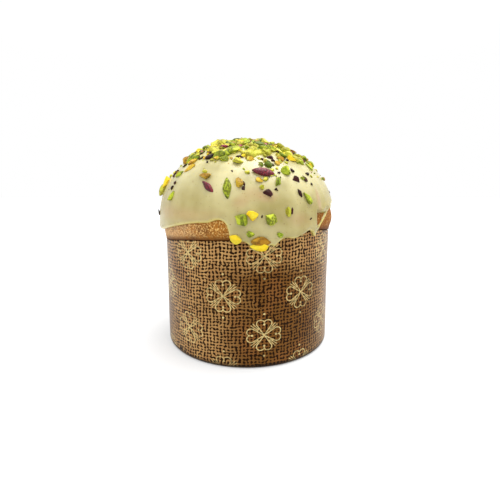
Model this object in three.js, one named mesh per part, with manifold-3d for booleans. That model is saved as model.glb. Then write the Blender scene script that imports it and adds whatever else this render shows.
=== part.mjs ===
// A small iced panettone: sweet bread that has risen out of its printed paper baking case into a
// dome, under a poured icing that is strewn with chopped pistachios and dark chips.
//
// Millimetres, +Z up. The origin is the middle of the case's foot, on what it stands on.
// A bearing is in degrees round the axis, from the front (-Y) towards +X. A fall is in degrees
// down from the crown: 90 is the widest line of the dome, and below it each degree of fall is
// FALL_STEP of height.

import * as THREE from "three";
import { ParametricGeometry } from "three/addons/geometries/ParametricGeometry.js";
import { mergeVertices } from "three/addons/utils/BufferGeometryUtils.js";
import Module from "manifold-3d";

// Baking case
const CASE_FOOT_RADIUS = 50;
const CASE_RIM_RADIUS = 49.3;
const CASE_HEIGHT = 65;
const CASE_WALL = 0.9;
const CASE_FLOOR = 1.0;
const FOOT_ROUNDING = 1.8;
const CASE_SLICES = 64;

// The rim isn't level: it stands highest at the front right. Bearing and height of each station.
const RIM = [
  [-140, 61.5], [-75, 61.9], [-35, 65.2], [-10, 66.3], [20, 68.2], [44, 69.6], [60, 68.5], [80, 66.8],
  [130, 63.5], [180, 61.8],
];

// Bread
const BREAD_RADIUS = 50.3;
const WIDE_HEIGHT = 73.4;
const BREAD_RISE = 42.2;
const CROWN_BLUNTNESS = 0.9;
const FALL_STEP = 0.9;
const SECTION_STEP = 0.5;
const LEAN = 0.6;
const BARE_CRUST = { bearing: 66, halfWidth: 24, fall: 88, halfFall: 11, proud: 1.6 };
const LUMPS = [
  { waves: 2, out: 0.45, turned: 0.8, twist: 0 },
  { waves: 3, out: 0.3, turned: -1.1, twist: 0.03 },
];
const BREAD_SLICES = 60;
const BREAD_DOME_ROWS = 10;
const OVERHANG_ROWS = 3;

// Icing
const ICING = 1.75;
const LIP_LENGTH = 1.9;
const LIP_ROWS = 3;
const ICING_DOME_ROWS = 13;
const ICING_INNER_ROWS = 12;
const FINE_SLICES = { from: -14, to: 66, step: 2.4 };
const COARSE_SLICE = 6.4;

// The lower edge of the icing, with its runs and drips. Bearing and height of each station.
const EDGE = [
  [-166, 65.4], [-154, 71], [-138, 73.8], [-122, 69.5], [-110, 64.6], [-99, 68.4], [-84, 67.6], [-66, 68.8],
  [-45, 72.2], [-34, 73.8], [-22, 74.6], [-11.4, 74.5], [-9.2, 67.5], [-6.8, 65.1], [-3.5, 66], [0, 65.1],
  [5.5, 62.4], [9.6, 63], [14.5, 64], [18.5, 66.4], [22, 67.3], [29, 67.1], [33, 68.6], [38, 70.4],
  [41.6, 68.8], [43.6, 66.8], [45.6, 70.2], [49, 73.6], [56, 79.2], [63, 82.4], [75, 82.8], [88, 78.6],
  [100, 72.4], [112, 67], [124, 65.8], [136, 70.4], [150, 72.6], [164, 69], [180, 71.2],
];

// A patch of crust that the icing ran round
const WINDOW = { bearing: 44.8, fall: 87, length: 6.6, width: 3.4, depth: 7, turn: -26, sides: 12 };

// Nuts and chips
const SINK = 0.36;
const ROUGHNESS = 0.3;
const KERNEL_ROUGHNESS = 0.1;
const NUT_THICKNESS_SHARE = 0.62;
const CHIP_THICKNESS_SHARE = 0.45;
const MAX_THICKNESS = 3.4;
const WHOLE_KERNEL = 9.5;

// The pieces on the crown, the sides and the back lie on a golden-angle spiral.
const GOLDEN_ANGLE = 137.508;
const SCATTER = { count: 128, seed: 417, wander: 14, fall: 96, crowding: 0.7 };
const SCATTER_SIZE = { smallest: 3.4, largest: 7.6, mostlySmall: 1.6, narrowest: 0.5, widest: 0.85 };
const SCATTER_FRONT = { from: -80, to: 66, fall: 24 };
const CHIP_SHARE = 0.2;
const EDGE_MARGIN = 5;

// The pieces that stand out at the front: bearing, fall, length, width, and turn from downhill.
const FRONT_NUTS = [
  [-54, 44.5, 9.2, 3.6, -27], [-51, 59, 4.4, 2.8, -30], [-49, 75, 5.6, 3.4, -20], [-52, 22, 5, 3, -34],
  [-13, 39, 7.4, 4.8, -64], [-16.5, 48, 4.6, 4, 60], [13, 26, 5, 3, 74], [21, 35, 7, 5, 75],
  [14.5, 52, 3.8, 3.6, 85], [-10.6, 68.5, 9.6, 4.2, 1], [35, 34, 3.8, 2.6, 45],
  [25.5, 56.5, 5.2, 4.6, -66], [17.7, 64.7, 4.9, 2.8, -35], [37, 75, 6.8, 3.4, 37],
  [57, 51, 5.5, 2.8, 19], [12, 86.5, 5.8, 4.2, 60], [-2.8, 87.6, 6, 5.4, 55], [1, 93.2, 4.2, 2.8, 82],
  [17.2, 94, 3.4, 2.8, 40], [-49, 31.6, 4, 3, -34], [-33.5, 33.5, 4, 3.2, -60],
  [-6.2, 50.3, 5.2, 4.2, -83], [3.6, 37.5, 4.8, 3.2, -75], [-10, 20, 6.6, 3.4, -79],
  [38.7, 44, 5.4, 3.4, 50], [2.3, 84, 5, 4.9, 90], [-6.3, 96, 4, 3.6, 80], [-45, 49, 5, 3.4, -50],
  [-43, 54.4, 6.4, 2.8, -52], [-26, 61, 6.2, 3.8, 89], [-72, 69, 9.4, 5.6, -20], [-21.5, 26, 7, 3.4, -60],
  [2, 47, 4.2, 2.8, 85], [-5, 66.3, 5.2, 4.2, 5], [6.7, 64, 3.4, 2.6, 53], [27.6, 45.5, 4.4, 3, 65],
  [22, 50, 3.2, 2.8, 85], [22, 82.7, 4.6, 3, 8], [7.1, 98.4, 10, 5.4, 89], [-22, 68.5, 7, 2.8, 50],
  [9.5, 58.3, 10.6, 4.2, 81], [-8, 31, 3.4, 2, -20],
];
const FRONT_CHIPS = [
  [-53.5, 51.5, 3.2, 1.8, -40], [-60.5, 56.5, 6.4, 2.2, -22], [-52.7, 68.8, 2.8, 2, -40],
  [-71, 90, 3.6, 2.6, 0], [-38.4, 45, 2.8, 1.8, -25], [-29.7, 44, 3.8, 2.8, -50],
  [-5.3, 45.6, 4.8, 1.8, 61], [16.4, 44.8, 3.2, 2.2, 50], [10.2, 71.7, 3.8, 3.2, -86],
  [31.7, 55.8, 4, 1.6, 31], [32, 61.8, 3.8, 3.2, -89], [39.3, 62.7, 3.4, 2, 21], [31.2, 71.6, 4, 1.8, 41],
  [24.2, 82.8, 3.6, 1.6, -29],
];

// Clearance between pieces that touch, and what the icing's flat inner facets need besides
const GAP = 0.35;
const FACET_ALLOWANCE = 0.12;

const wasm = await Module();
wasm.setup();

const degrees = THREE.MathUtils.degToRad;
const mix = THREE.MathUtils.lerp;
const wrap = (bearing) => THREE.MathUtils.euclideanModulo(bearing + 180, 360) - 180;

// A smooth closed line through stations of bearing and height, as a function of the bearing.
function heightRound(stations) {
  const sorted = [...stations].sort((one, other) => one[0] - other[0]);
  const before = sorted.slice(-2).map(([bearing, height]) => [bearing - 360, height]);
  const after = sorted.slice(0, 2).map(([bearing, height]) => [bearing + 360, height]);
  const all = [...before, ...sorted, ...after];
  const line = new THREE.CubicInterpolant(all.map((one) => one[0]), all.map((one) => one[1]), 1);
  return (bearing) => line.evaluate(wrap(bearing))[0];
}

const rimHeight = heightRound(RIM);
const edgeHeight = heightRound(EDGE);

// The outside radius of the case's wall at a height.
function caseRadius(height) {
  return mix(CASE_FOOT_RADIUS, CASE_RIM_RADIUS, height / CASE_HEIGHT);
}

function fallOf(height) {
  return 90 + (WIDE_HEIGHT - height) / FALL_STEP;
}

// A smooth bump that is 1 at the middle and 0 at distance 1.
function bump(distance) {
  return distance < 1 ? (1 - distance * distance) ** 2 : 0;
}

// How far the crust swells out of the even dome: broad lumps, a lean to the left, and the bare
// crust at the right. It fades out at the crown and at the rim of the case.
function swell(bearing, fall) {
  const turn = degrees(bearing);
  const overhang = Math.max(0, (fall - 90) / (fallOf(rimHeight(bearing)) - 90));
  const share = Math.sin(degrees(Math.min(fall, 90))) * bump(overhang);
  let out = -LEAN * Math.sin(turn);
  for (const lump of LUMPS) {
    out += lump.out * Math.cos(lump.waves * turn + lump.turned + lump.twist * fall);
  }
  const across = wrap(bearing - BARE_CRUST.bearing) / BARE_CRUST.halfWidth;
  const down = (fall - BARE_CRUST.fall) / BARE_CRUST.halfFall;
  return share * (out + BARE_CRUST.proud * bump(Math.hypot(across, down)));
}

// Radius and height of the even dome at a fall: an ellipse with a blunt crown down to its widest
// line, and below that a curve that runs in to the wall of the case and down over it.
function evenSection(bearing, fall) {
  if (fall <= 90) {
    const turn = degrees(fall);
    return [BREAD_RADIUS * Math.sin(turn), WIDE_HEIGHT + BREAD_RISE * Math.cos(turn) ** CROWN_BLUNTNESS];
  }
  const height = WIDE_HEIGHT - (fall - 90) * FALL_STEP;
  const down = Math.min(1, (WIDE_HEIGHT - height) / (WIDE_HEIGHT - rimHeight(bearing)));
  const wall = caseRadius(height);
  return [wall + (BREAD_RADIUS - wall) * Math.cos((down * Math.PI) / 2), height];
}

// A point at a lift off the bread and the case's wall, square to their section.
function section(bearing, fall, lift) {
  const [r0, z0] = evenSection(bearing, Math.max(0, fall - SECTION_STEP));
  const [r1, z1] = evenSection(bearing, fall + SECTION_STEP);
  const length = Math.hypot(r1 - r0, z1 - z0);
  const [radius, height] = evenSection(bearing, fall);
  const out = lift + swell(bearing, fall);
  if (fall < SECTION_STEP) return [radius, height + out];
  return [radius + (out * (z0 - z1)) / length, height + (out * (r1 - r0)) / length];
}

// A closed solid round the axis. sectionAt gives, for a bearing, the points of radius and height
// from one end on the axis to the other, with the solid on the left of that line.
function roundSolid(bearings, sectionAt) {
  const sections = bearings.map(sectionAt);
  const rows = sections[0].length - 1;
  const surface = new ParametricGeometry(
    (u, v, target) => {
      const slice = Math.round(u * bearings.length) % bearings.length;
      const [radius, height] = sections[slice][Math.round(v * rows)];
      const turn = degrees(bearings[slice]);
      target.set(radius * Math.sin(turn), -radius * Math.cos(turn), height);
    },
    bearings.length,
    rows,
  );
  return solidOf(surface);
}

// A three.js geometry as a solid: vertices merged, and the faces that collapse on the axis dropped.
function solidOf(geometry) {
  geometry.deleteAttribute("normal");
  geometry.deleteAttribute("uv");
  const merged = mergeVertices(geometry, 1e-4);
  const corners = merged.index.array;
  const faces = [];
  for (let i = 0; i < corners.length; i += 3) {
    const [a, b, c] = corners.slice(i, i + 3);
    if (a !== b && b !== c && c !== a) faces.push(a, b, c);
  }
  return new wasm.Manifold(
    new wasm.Mesh({
      numProp: 3,
      vertProperties: merged.attributes.position.array,
      triVerts: new Uint32Array(faces),
    }),
  );
}

function geometryOf(solid) {
  const mesh = solid.getMesh();
  const geometry = new THREE.BufferGeometry();
  geometry.setAttribute("position", new THREE.BufferAttribute(mesh.vertProperties, 3));
  geometry.setIndex(new THREE.BufferAttribute(mesh.triVerts, 1));
  geometry.computeVertexNormals();
  return geometry;
}

function evenBearings(count) {
  return Array.from({ length: count }, (_, i) => -180 + (360 * i) / count);
}

// The baking case: a thin round paper cup with a rounded foot and an open top. Its rim is a low
// ridge, and its foot has one station halfway round the rounding.
function bakingCase() {
  return roundSolid(evenBearings(CASE_SLICES), (bearing) => {
    const rim = rimHeight(bearing);
    const ridge = CASE_WALL / 4;
    const halfway = FOOT_ROUNDING * (1 - Math.SQRT1_2);
    const inside = (height) => caseRadius(height) - CASE_WALL;
    return [
      [0, 0],
      [CASE_FOOT_RADIUS - FOOT_ROUNDING, 0],
      [CASE_FOOT_RADIUS - halfway, halfway],
      [CASE_FOOT_RADIUS, FOOT_ROUNDING],
      [caseRadius(rim), rim - ridge],
      [caseRadius(rim) - CASE_WALL / 2, rim],
      [inside(rim), rim - ridge],
      [inside(0), CASE_FLOOR + FOOT_ROUNDING],
      [inside(0) - FOOT_ROUNDING, CASE_FLOOR],
      [0, CASE_FLOOR],
    ];
  });
}

// The bread: it fills the case, rests over its rim and swells into the dome.
function bread() {
  return roundSolid(evenBearings(BREAD_SLICES), (bearing) => {
    const rim = rimHeight(bearing) + GAP;
    const inside = (height) => caseRadius(height) - CASE_WALL - GAP;
    const outside = [];
    for (let row = 0; row <= BREAD_DOME_ROWS; row++) {
      outside.push(section(bearing, (90 * row) / BREAD_DOME_ROWS, 0));
    }
    for (let row = 1; row <= OVERHANG_ROWS; row++) {
      outside.push(section(bearing, mix(90, fallOf(rim), row / OVERHANG_ROWS), 0));
    }
    outside[0][0] = 0;
    return [
      [0, CASE_FLOOR + GAP],
      [inside(0) - FOOT_ROUNDING, CASE_FLOOR + GAP],
      [inside(0), CASE_FLOOR + GAP + FOOT_ROUNDING],
      [inside(rim), rim],
      ...outside.reverse(),
    ];
  });
}

// The bearings of the icing's slices, closer where its edge has narrow runs.
function icingBearings() {
  const bearings = [];
  let bearing = -180;
  while (bearing < 180 - COARSE_SLICE / 2) {
    bearings.push(bearing);
    bearing += bearing >= FINE_SLICES.from && bearing < FINE_SLICES.to ? FINE_SLICES.step : COARSE_SLICE;
  }
  return bearings;
}

// The icing's section: down the inside from the crown, round the lip, and back up the outside.
function icingSection(bearing) {
  const edge = fallOf(edgeHeight(bearing));
  const lipStart = edge - LIP_LENGTH / FALL_STEP;
  const points = [];
  for (let row = 0; row <= ICING_INNER_ROWS; row++) {
    points.push(section(bearing, (edge * row) / ICING_INNER_ROWS, GAP + FACET_ALLOWANCE));
  }
  for (let row = 1; row <= LIP_ROWS; row++) {
    const turn = ((row / (LIP_ROWS + 1)) * Math.PI) / 2;
    points.push(section(bearing, mix(lipStart, edge, Math.cos(turn)), GAP + ICING * Math.sin(turn)));
  }
  for (let row = ICING_DOME_ROWS; row >= 0; row--) {
    points.push(section(bearing, (lipStart * row) / ICING_DOME_ROWS, GAP + ICING));
  }
  points[0][0] = 0;
  points[points.length - 1][0] = 0;
  return points;
}

// A frame on the icing's outside: origin on the surface, X downhill turned by turn, Z outwards.
function frameOn(bearing, fall, turn) {
  const place = (atBearing, atFall) => {
    const [radius, height] = section(atBearing, atFall, GAP + ICING);
    const round = degrees(atBearing);
    return new THREE.Vector3(radius * Math.sin(round), -radius * Math.cos(round), height);
  };
  const origin = place(bearing, fall);
  const downhill = place(bearing, fall + 1).sub(origin).normalize();
  const along = place(bearing + 1, fall).sub(origin).normalize();
  const outwards = new THREE.Vector3().crossVectors(downhill, along).normalize();
  const across = new THREE.Vector3().crossVectors(outwards, downhill);
  return new THREE.Matrix4()
    .makeBasis(downhill, across, outwards)
    .setPosition(origin)
    .multiply(new THREE.Matrix4().makeRotationZ(degrees(turn)));
}

// Seeded draws between 0 and 1.
function draws(seed) {
  let state = seed;
  return () => {
    state = (state * 16807) % 2147483647;
    return state / 2147483647;
  };
}

// A nut is a rough lump, rounder where it is a whole kernel. A chip is a flat shard.
function nut([bearing, fall, length, width, turn], index) {
  const whole = length >= WHOLE_KERNEL;
  const shape = new THREE.IcosahedronGeometry(1, whole ? 1 : 0);
  const size = [length, width, Math.min(MAX_THICKNESS, width * NUT_THICKNESS_SHARE)];
  const rough = whole ? KERNEL_ROUGHNESS : ROUGHNESS;
  return setInIcing(shape, size, rough, frameOn(bearing, fall, turn), index);
}

function chip([bearing, fall, length, width, turn], index) {
  const size = [length, width, width * CHIP_THICKNESS_SHARE];
  return setInIcing(new THREE.OctahedronGeometry(1, 0), size, ROUGHNESS, frameOn(bearing, fall, turn), index);
}

// A shape of unit radius, with its corners drawn in and out, brought to its size and sunk a little
// into the icing.
function setInIcing(shape, [length, width, height], rough, place, index) {
  shape.deleteAttribute("normal");
  shape.deleteAttribute("uv");
  const lump = mergeVertices(shape, 1e-4);
  const draw = draws(index + 1);
  const corner = new THREE.Vector3();
  const corners = lump.attributes.position;
  for (let i = 0; i < corners.count; i++) {
    corner.fromBufferAttribute(corners, i).multiplyScalar(1 + rough * (draw() - 0.5));
    corners.setXYZ(i, corner.x, corner.y, corner.z);
  }
  lump.scale(length / 2, width / 2, height / 2);
  lump.translate(0, 0, height * (0.5 - SINK));
  lump.applyMatrix4(place);
  return solidOf(lump);
}

// The pieces on a golden-angle spiral that is closest at the crown. The front has its own lists.
function scattered() {
  const draw = draws(SCATTER.seed);
  const { smallest, largest, mostlySmall, narrowest, widest } = SCATTER_SIZE;
  const { from, to, fall: frontFall } = SCATTER_FRONT;
  const nuts = [];
  const chips = [];
  for (let k = 0; k < SCATTER.count; k++) {
    const bearing = wrap(k * GOLDEN_ANGLE + SCATTER.wander * (draw() - 0.5));
    const fall = SCATTER.fall * ((k + 0.5) / SCATTER.count) ** SCATTER.crowding;
    const length = mix(smallest, largest, draw() ** mostlySmall);
    const width = length * mix(narrowest, widest, draw());
    const turn = 360 * draw();
    const kind = draw() < CHIP_SHARE ? chips : nuts;
    const atFront = bearing > from && bearing < to && fall > frontFall;
    const onIcing = fall < fallOf(edgeHeight(bearing)) - EDGE_MARGIN;
    if (onIcing && !atFront) kind.push([bearing, fall, length, width, turn]);
  }
  return { nuts, chips };
}

// The cutter of the bare patch: an oval rod square to the icing.
function windowCutter() {
  const { bearing, fall, length, width, depth, turn, sides } = WINDOW;
  const rod = new THREE.CylinderGeometry(0.5, 0.5, depth, sides);
  rod.rotateX(Math.PI / 2);
  rod.scale(length, width, 1);
  rod.applyMatrix4(frameOn(bearing, fall, turn));
  return solidOf(rod);
}

function icing() {
  const poured = roundSolid(icingBearings(), icingSection).subtract(windowCutter());
  const { nuts, chips } = scattered();
  const pieces = [...[...FRONT_NUTS, ...nuts].map(nut), ...[...FRONT_CHIPS, ...chips].map(chip)];
  return pieces.reduce((whole, next) => whole.add(next), poured);
}

function node(name, solid, material) {
  const mesh = new THREE.Mesh(geometryOf(solid), new THREE.MeshStandardMaterial(material));
  mesh.name = name;
  return mesh;
}

const panettone = new THREE.Group();
panettone.name = "panettone";
panettone.add(
  node("baking_case", bakingCase(), { color: 0x6b4a2c, roughness: 0.45, metalness: 0 }),
  node("bread", bread(), { color: 0xb5834f, roughness: 0.75, metalness: 0 }),
  node("icing", icing(), { color: 0xdcd9a0, roughness: 0.3, metalness: 0 }),
);

export default panettone;
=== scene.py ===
# %% [markdown]
# A small iced panettone, told in steps: a paper baking case printed with a coarse weave and gold
# flowers, sweet bread that has risen out of it, pistachio icing poured over the dome, and
# chopped pistachios and dark chips strewn on the icing while it was wet. Lengths are in
# millimetres, as a baker would give them, and MM turns them into metres where a mesh is made.
# A bearing is in degrees round the axis from the front (-Y) towards +X. A fall is in degrees down
# from the crown: 90 is the widest line, and below it each degree is FALL_STEP of height.

import bmesh
import bpy
import numpy as np
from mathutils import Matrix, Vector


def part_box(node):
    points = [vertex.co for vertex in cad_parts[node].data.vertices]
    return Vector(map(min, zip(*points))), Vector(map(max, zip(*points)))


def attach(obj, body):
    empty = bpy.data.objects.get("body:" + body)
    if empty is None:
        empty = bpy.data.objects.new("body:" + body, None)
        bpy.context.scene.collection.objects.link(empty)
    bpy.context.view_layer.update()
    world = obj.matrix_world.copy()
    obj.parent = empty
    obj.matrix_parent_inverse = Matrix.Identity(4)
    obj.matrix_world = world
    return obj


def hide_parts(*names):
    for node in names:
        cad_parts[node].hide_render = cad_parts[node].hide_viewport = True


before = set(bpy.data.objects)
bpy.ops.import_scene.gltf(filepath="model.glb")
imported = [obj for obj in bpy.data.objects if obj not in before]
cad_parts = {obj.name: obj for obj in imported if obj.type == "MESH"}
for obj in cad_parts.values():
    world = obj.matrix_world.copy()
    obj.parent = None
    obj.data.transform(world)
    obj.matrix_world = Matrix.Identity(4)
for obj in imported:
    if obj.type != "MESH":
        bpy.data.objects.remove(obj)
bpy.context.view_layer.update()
MM = 0.001

# %% [markdown]
# Everything on the panettone follows two closed lines round it: the rim of the paper, which
# isn't level, and the lower edge of the icing, with its runs and drips. A few stations give each
# line. It could be a Bezier curve in Blender, but a formula can be asked for its height at any
# bearing, so the icing, the bread and the case all fit each other.

# %% Smooth lines round the object
def wrap(bearing):
    """Any bearing, brought between -180 and 180 degrees."""
    return (np.asarray(bearing, float) + 180) % 360 - 180


def mix(low, high, share):
    """The value that lies the given share of the way from low to high."""
    return low + (high - low) * share


def line_round(stations):
    """A smooth closed line through stations of bearing and height, as a function of bearing.
    Between two stations it is a cubic, and its slope at a station is the mean of the straight
    slopes on the two sides of it."""
    table = np.array(sorted(stations), float)
    at = np.concatenate([table[-2:, 0] - 360, table[:, 0], table[:2, 0] + 360])
    height = np.concatenate([table[-2:, 1], table[:, 1], table[:2, 1]])
    straight = np.diff(height) / np.diff(at)
    slope = np.concatenate([[0], (straight[:-1] + straight[1:]) / 2, [0]])

    def line(bearing):
        bearing = wrap(bearing)
        i = np.clip(np.searchsorted(at, bearing, side="right") - 1, 1, len(at) - 3)
        step = at[i + 1] - at[i]
        p = (bearing - at[i]) / step
        q = 1 - p
        return (
            (1 + 2 * p) * q**2 * height[i]
            + p * q**2 * step * slope[i]
            + (1 + 2 * q) * p**2 * height[i + 1]
            - q * p**2 * step * slope[i + 1]
        )

    return line


rim_height = line_round([
    (-140, 61.5), (-75, 61.9), (-35, 65.2), (-10, 66.3), (20, 68.2), (44, 69.6), (60, 68.5),
    (80, 66.8), (130, 63.5), (180, 61.8),
])
edge_line = line_round([
    (-166, 65.4), (-154, 71), (-138, 73.8), (-122, 69.5), (-110, 64.6), (-99, 68.4), (-84, 67.6),
    (-66, 68.8), (-45, 72.2), (-34, 73.8), (-22, 74.6), (-11.6, 74.6), (-10.2, 72), (-9.2, 67.5),
    (-8.2, 65.6), (-6.8, 65.1), (-3.5, 66), (-1.4, 65.8), (1, 64.4), (3.4, 62.8), (5.4, 62.4),
    (8, 62.6), (11.3, 63.6), (13.2, 64.2), (15.2, 63.6), (16.8, 65), (18.9, 66.5), (22, 67.4),
    (26, 66.9), (29, 67.1), (33, 68.6), (37.4, 70.4), (39.6, 70.1), (41.8, 68.7), (43.4, 66.8),
    (44.9, 67.2), (47.6, 69.9), (50, 72.2), (53, 74.7), (57, 77.7), (62.5, 80.9), (68, 82.6),
    (75, 82.8), (88, 78.6), (100, 72.4), (112, 67), (124, 65.8), (136, 70.4),
    (150, 72.6), (164, 69), (180, 71.2),
])
EDGE_WAVES = ((17, 0.5, 0.4, 0), (29, 0.35, 2.0, 0), (43, 0.2, 4.1, 0))
EDGE_WAVES_FROM = 70
EDGE_WAVES_FADE = 20


def ripples(waves, turn, along=0):
    """The sum of cosine waves round the object. Each has its count round, its size, where it
    starts, and how far it twists with along, a fall or a height."""
    return sum(size * np.cos(count * turn + start + twist * along) for count, size, start, twist in waves)


def edge_height(bearing):
    """The icing's lower edge: the line through its stations, and behind the front also small
    cosine runs."""
    behind = np.clip((np.abs(wrap(bearing)) - EDGE_WAVES_FROM) / EDGE_WAVES_FADE, 0, 1)
    return edge_line(bearing) + behind * ripples(EDGE_WAVES, np.radians(bearing))


print("the icing's edge at the front is", round(float(edge_height(0)), 1), "mm up")

# %% [markdown]
# The bread rose out of its case and swelled over the rim, so its section is a half ellipse down
# to the widest line and then a curve that runs in to the wall. A sculpted sphere could look the
# same, but the pieces above it would then have to be shrink-wrapped. Here a point on the bread,
# and any point a given lift above it, comes from one function.

# %% The form of the bread
CASE_FOOT_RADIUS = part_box("baking_case")[1].x / MM
CASE_RIM_RADIUS = 49.3
CASE_HEIGHT = 65
CASE_WALL = 0.9
CASE_FLOOR = 1.0
FOOT_ROUNDING = 1.8
BREAD_RADIUS = 50.3
WIDE_HEIGHT = 73.4
BREAD_RISE = 42.2
CROWN_BLUNTNESS = 0.9
FALL_STEP = 0.9
SECTION_STEP = 0.5
LEAN = 0.6
LUMPS = ((2, 0.45, 0.8, 0), (3, 0.3, -1.1, 0.03))
BARE_CRUST = ((66, 88, 24, 11, 1.6),)
GAP = 0.35


def case_radius(height):
    """The outside radius of the paper wall: a straight taper from foot to rim."""
    return mix(CASE_FOOT_RADIUS, CASE_RIM_RADIUS, height / CASE_HEIGHT)


def fall_of(height):
    """The fall at a height below the widest line."""
    return 90 + (WIDE_HEIGHT - height) / FALL_STEP


def bump(away):
    """A smooth hill: 1 at the middle, 0 from a distance of 1 outwards."""
    return np.clip(1 - np.asarray(away) ** 2, 0, None) ** 2


def hills(places, bearing, fall):
    """The sum of smooth hills, each given by its bearing, fall, half width, half fall and height."""
    total = 0
    for at, down, half_width, half_fall, size in places:
        total = total + size * bump(np.hypot(wrap(bearing - at) / half_width, (fall - down) / half_fall))
    return total


def swell(bearing, fall):
    """How far the crust stands out of the even dome: cosine lumps that go round it two and three
    times, a lean to the left, and one hill for the bare crust at the right."""
    turn = np.radians(bearing)
    overhang = np.clip((fall - 90) / (fall_of(rim_height(bearing)) - 90), 0, None)
    share = np.sin(np.radians(np.minimum(fall, 90))) * bump(overhang)
    lumps = -LEAN * np.sin(turn) + ripples(LUMPS, turn, fall)
    return share * (lumps + hills(BARE_CRUST, bearing, fall))


def even_section(bearing, fall):
    """Radius and height of the even dome: (R sin, Z + rise cos ** bluntness) down to the widest
    line, then a quarter cosine that brings the radius in to the wall at the rim."""
    turn = np.radians(np.clip(fall, 0, 90))
    dome_height = WIDE_HEIGHT + BREAD_RISE * np.clip(np.cos(turn), 0, 1) ** CROWN_BLUNTNESS
    height = WIDE_HEIGHT - (fall - 90) * FALL_STEP
    down = np.clip((WIDE_HEIGHT - height) / (WIDE_HEIGHT - rim_height(bearing)), 0, 1)
    wall = case_radius(height)
    low_radius = wall + (BREAD_RADIUS - wall) * np.cos(down * np.pi / 2)
    dome = fall <= 90
    return np.where(dome, BREAD_RADIUS * np.sin(turn), low_radius), np.where(dome, dome_height, height)


def section(bearing, fall, lift):
    """Radius and height of a point at a lift off the bread, square to its section."""
    r0, z0 = even_section(bearing, np.maximum(fall - SECTION_STEP, 0))
    r1, z1 = even_section(bearing, fall + SECTION_STEP)
    length = np.hypot(r1 - r0, z1 - z0)
    radius, height = even_section(bearing, fall)
    out = lift + swell(bearing, fall)
    return radius + out * (z0 - z1) / length, height + out * (r1 - r0) / length


def place(bearing, radius, height):
    """Points in millimetres from bearing, radius and height."""
    turn = np.radians(bearing)
    return np.stack([radius * np.sin(turn), -radius * np.cos(turn), height], axis=-1)


print("the bread's crown is", round(float(section(0.0, 0.0, 0.0)[1]), 1), "mm up")

# %% [markdown]
# Case, bread and icing are all closed solids of revolution with uneven sections: a grid with one
# column for each bearing and one row for each point of the section. Blender's Screw modifier
# makes only even ones. The grid closes on itself round the axis, and its first and last row
# close on single vertices, so that there is neither a seam nor an open pole.

# %% Making closed round pieces
def new_piece(name, points, faces, smooth=True):
    """A mesh object at the origin from points in millimetres and a list or array of faces."""
    mesh = bpy.data.meshes.new(name)
    mesh.from_pydata((points * MM).tolist(), [], [list(face) for face in faces])
    mesh.polygons.foreach_set("use_smooth", np.full(len(mesh.polygons), smooth))
    mesh.update()
    piece = bpy.data.objects.new(name, mesh)
    bpy.context.scene.collection.objects.link(piece)
    return piece


def all_round(columns):
    """The bearings of a round piece's columns, as one row."""
    return np.linspace(-180, 180, columns, endpoint=False)[None, :]


def round_solid(name, bearing, radius, height):
    """A closed solid from arrays of rows by columns. Row 0 and the last row lie on the axis, and
    the section runs so that the solid is on its left."""
    rows, columns = radius.shape
    ring = place(np.broadcast_to(bearing, radius.shape), radius, height)[1:-1].reshape(-1, 3)
    poles = np.array([[0, 0, height[0].mean()], [0, 0, height[-1].mean()]])
    index = np.arange((rows - 2) * columns).reshape(rows - 2, columns)
    following = np.roll(index, -1, axis=1)
    quads = np.stack([index[:-1], following[:-1], following[1:], index[1:]], axis=-1).reshape(-1, 4)
    first = np.full(columns, len(ring))
    start = np.stack([first, following[0], index[0]], axis=-1)
    end = np.stack([first + 1, index[-1], following[-1]], axis=-1)
    piece = new_piece(name, np.concatenate([ring, poles]), quads.tolist() + start.tolist() + end.tolist())
    print(name, "has", 2 * len(quads) + 2 * columns, "triangles")
    return piece


def paint(piece, name, values):
    """Stores one number for each vertex, which a material reads with an Attribute node."""
    attribute = piece.data.attributes.new(name, "FLOAT", "POINT")
    attribute.data.foreach_set("value", np.asarray(values, np.float32).ravel())


def rounds(values):
    """The values of a round solid's rows in the order of its vertices, poles last."""
    return np.concatenate([values[1:-1].ravel(), [values[0].mean(), values[-1].mean()]])


# %% [markdown]
# The baking case is one sheet of stiff paper rolled into a cup, glued at the back and crimped to
# a round base. Its wall here is as thick as the packed model's, and a little uneven, as paper is.

# %% The baking case
CASE_COLUMNS = 240
CASE_WALL_ROWS = 40
CASE_INNER_ROWS = 12
CORNER_STEP = 15
PAPER_WAVES = ((5, 0.12, 1, 1 / 30), (9, 0.072, 0, -1 / 22))
PAPER_WAVE_TOP = 60
RIM_EVENNESS = 6


def paper_wave(bearing, height):
    """The wall's unevenness: slow waves round it that fade at foot and rim."""
    fade = np.sin(np.pi * np.clip(height / PAPER_WAVE_TOP, 0, 1))
    return ripples(PAPER_WAVES, np.radians(bearing), height) * fade


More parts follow.
